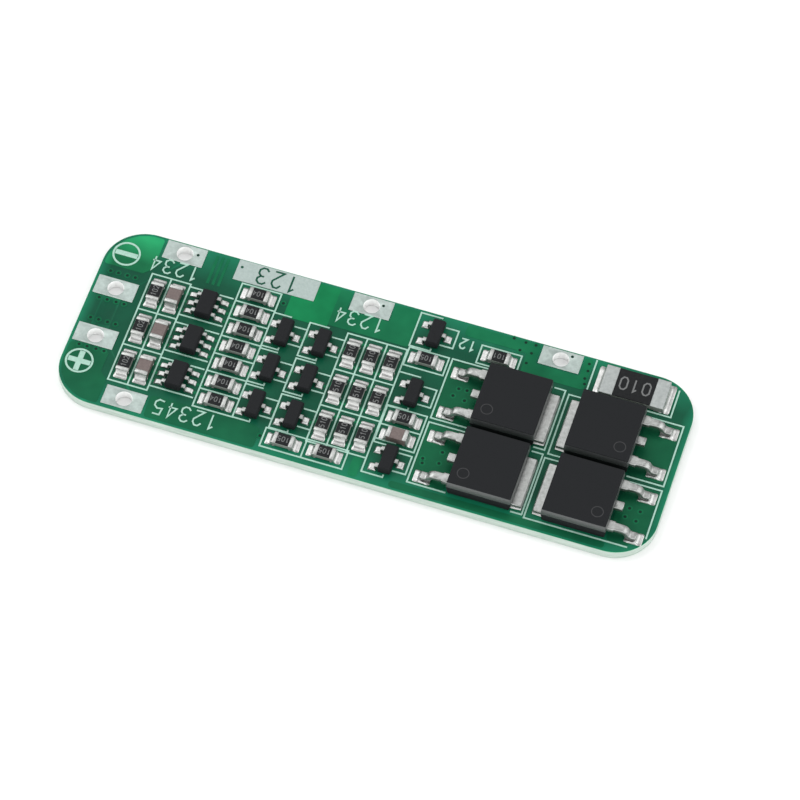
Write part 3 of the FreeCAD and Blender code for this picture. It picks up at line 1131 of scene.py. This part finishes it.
def track_routes():
    """Tracks between neighbouring parts, led from their lands."""
    low_end, high_end = parallel_track_ends
    routes = [((x, low_end), (x, high_end)) for x in parallel_tracks]
    for cell in (1, 2, 3):
        resistor_x, resistor_y = node_centre(f"filter_resistor_{cell}")
        capacitor_x = node_centre(f"filter_capacitor_{cell}")[0]
        land_y = resistor_y - chip_land
        routes.append(((resistor_x, land_y), (capacitor_x, land_y)))
        x, circuit_y = node_centre(f"protection_ic_{cell}")
        for y in (circuit_y - lead_pitch, circuit_y, circuit_y + lead_pitch):
            routes.append(((x + circuit_lead, y), (x + circuit_track_right, y)))
            routes.append(((x - circuit_lead, y), (x - circuit_track_left, y)))
        x, switch_y = node_centre(f"switch_transistor_{cell}")
        for y in (switch_y - lead_pitch, switch_y + lead_pitch):
            routes.append(((x - transistor_lead_left, y), (x - transistor_track_left, y)))
        balance_x, balance_y = node_centre(f"balance_transistor_{cell}")
        gate_y = balance_y + lead_pitch
        routes.append((
            (x + transistor_lead_right, switch_y),
            (x + transistor_knee_right, switch_y),
            (balance_x - transistor_knee_left, gate_y),
            (balance_x - transistor_lead_left, gate_y),
        ))
        row = [node_centre(name) for name in node_names(f"balance_resistor_{cell}")]
        (first_x, row_y), last_x = row[0], row[-1][0]
        for y in (row_y - chip_land, row_y + chip_land):
            routes.append(((first_x, y), (last_x, y)))
        routes.append((
            (balance_x + transistor_lead_right, balance_y),
            (balance_x + transistor_knee_right, balance_y),
            (first_x, row_y + chip_land),
        ))
    return routes


def via_places():
    """Centres of the plated vias."""
    places = [(x, y) for y in (4.7, 1.5, -0.9, -4.1) for x in (-28.2, -27.4, -26.5, -25.7)]
    places += [(10.7, 9.7), (11.9, 9.6), (12.9, 9.6), (11.6, 8.6), (12.75, 8.6), (12.6, 7.4)]
    places += [(18.3, 9.2), (18.4, 8.4), (18.35, 7.5), (18.5, 6.9)]
    places += [(7.4, 2.6), (8.2, 2.65), (7.1, 1.7), (8.3, 1.5)]
    places += [(8.05, -4.6), (6.5, -5.8), (8.1, -5.85), (6.6, -6.3)]
    places += [(26.35, -4.85), (27.4, -4.9), (26.2, -5.85), (27.3, -6.0)]
    places += [(-11.35, 6.45), (-8.7, -8.3)]
    return places


def build_copper():
    """Copper under the mask: fields, tracks and vias, all a little raised."""
    piece = Piece("tracks")
    top = board_top + copper_rise
    for index, (tone, corners) in enumerate(copper_fields()):
        field = bmesh.new()
        plate(field, rounded_outline(corners), board_top, top + index * layer_step)
        piece.absorb(field, tone)
    tracks = bmesh.new()
    for index, points in enumerate(track_routes()):
        ribbon(tracks, points, track_width, board_top, top - index * layer_step / 4)
    piece.absorb(tracks, "plain_copper")

    vias = bmesh.new()
    rings = bmesh.new()
    via_top = top + layer_step * via_layers
    ring_top = top + layer_step * via_ring_layers
    for centre in via_places():
        plate(vias, circle(centre, via_radius, via_sides), board_top, via_top)
        ring = circle(centre, via_ring_radius, via_sides)
        ribbon(rings, ring, via_ring_width, board_top, ring_top, closed=True)
    land_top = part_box("terminal_minus")[1].z / MM
    # Dark discs where vias open in the tin lands: painted shade of their holes
    places_on_lands = ((-20.85, 9.05), (-2.2, 9.2), (16.55, 9.45))
    for centre in places_on_lands:
        dot = circle(centre, via_radius, via_sides)
        plate(vias, dot, land_top - copper_rise, land_top + layer_step)
    piece.absorb(vias, "via")
    piece.absorb(rings, "plain_copper")
    piece.place("laminate")


# Floor, light and camera

def build_floor():
    """Plain pale floor just under the board."""
    bpy.ops.mesh.primitive_plane_add(size=floor_size, location=(0, 0, -floor_gap * MM))
    floor = bpy.context.object
    floor.name = "floor"
    material, tree, shader = new_material("floor")
    colour = ramp(tree, noise(tree, floor_cloud), floor_dark, floor_light)
    tree.links.new(colour, shader.inputs["Base Color"])
    shader.inputs["Roughness"].default_value = floor_rough
    floor.data.materials.append(material)


def build_light():
    """Soft studio light: one overhead and three around, all square, and an even surround."""
    for name, (place, size, power) in lights.items():
        data = bpy.data.lights.new(name, "AREA")
        data.size = size
        data.energy = power
        light = bpy.data.objects.new(name, data)
        light.location = place
        light.rotation_euler = Vector(place).to_track_quat("Z", "Y").to_euler()
        bpy.context.scene.collection.objects.link(light)
    world = bpy.data.worlds.new("surround")
    world.use_nodes = True
    background = world.node_tree.nodes["Background"]
    background.inputs["Color"].default_value = (1, 1, 1, 1)
    background.inputs["Strength"].default_value = surround_strength
    bpy.context.scene.world = world
    bpy.context.scene.view_settings.view_transform = "Standard"


def build_camera():
    """The photograph's viewpoint."""
    azimuth, elevation, roll = map(math.radians, (view_azimuth, view_elevation, view_roll))
    back = Vector((
        math.sin(azimuth) * math.cos(elevation),
        -math.cos(azimuth) * math.cos(elevation),
        math.sin(elevation),
    ))
    right = Vector((math.cos(azimuth), math.sin(azimuth), 0))
    up = back.cross(right)
    across = right * math.cos(roll) + up * math.sin(roll)
    upward = up * math.cos(roll) - right * math.sin(roll)
    data = bpy.data.cameras.new("camera")
    data.sensor_width = sensor_width
    data.lens = view_lens
    data.clip_start = near_limit
    camera = bpy.data.objects.new("camera", data)
    turn = Matrix((across, upward, back)).transposed().to_4x4()
    place = (Vector(view_target) + back * view_distance) * MM
    camera.matrix_world = Matrix.Translation(place) @ turn
    bpy.context.scene.collection.objects.link(camera)
    bpy.context.scene.camera = camera


build_board()
build_copper()
build_print()
build_components()
build_solder()
build_floor()
build_light()
build_camera()
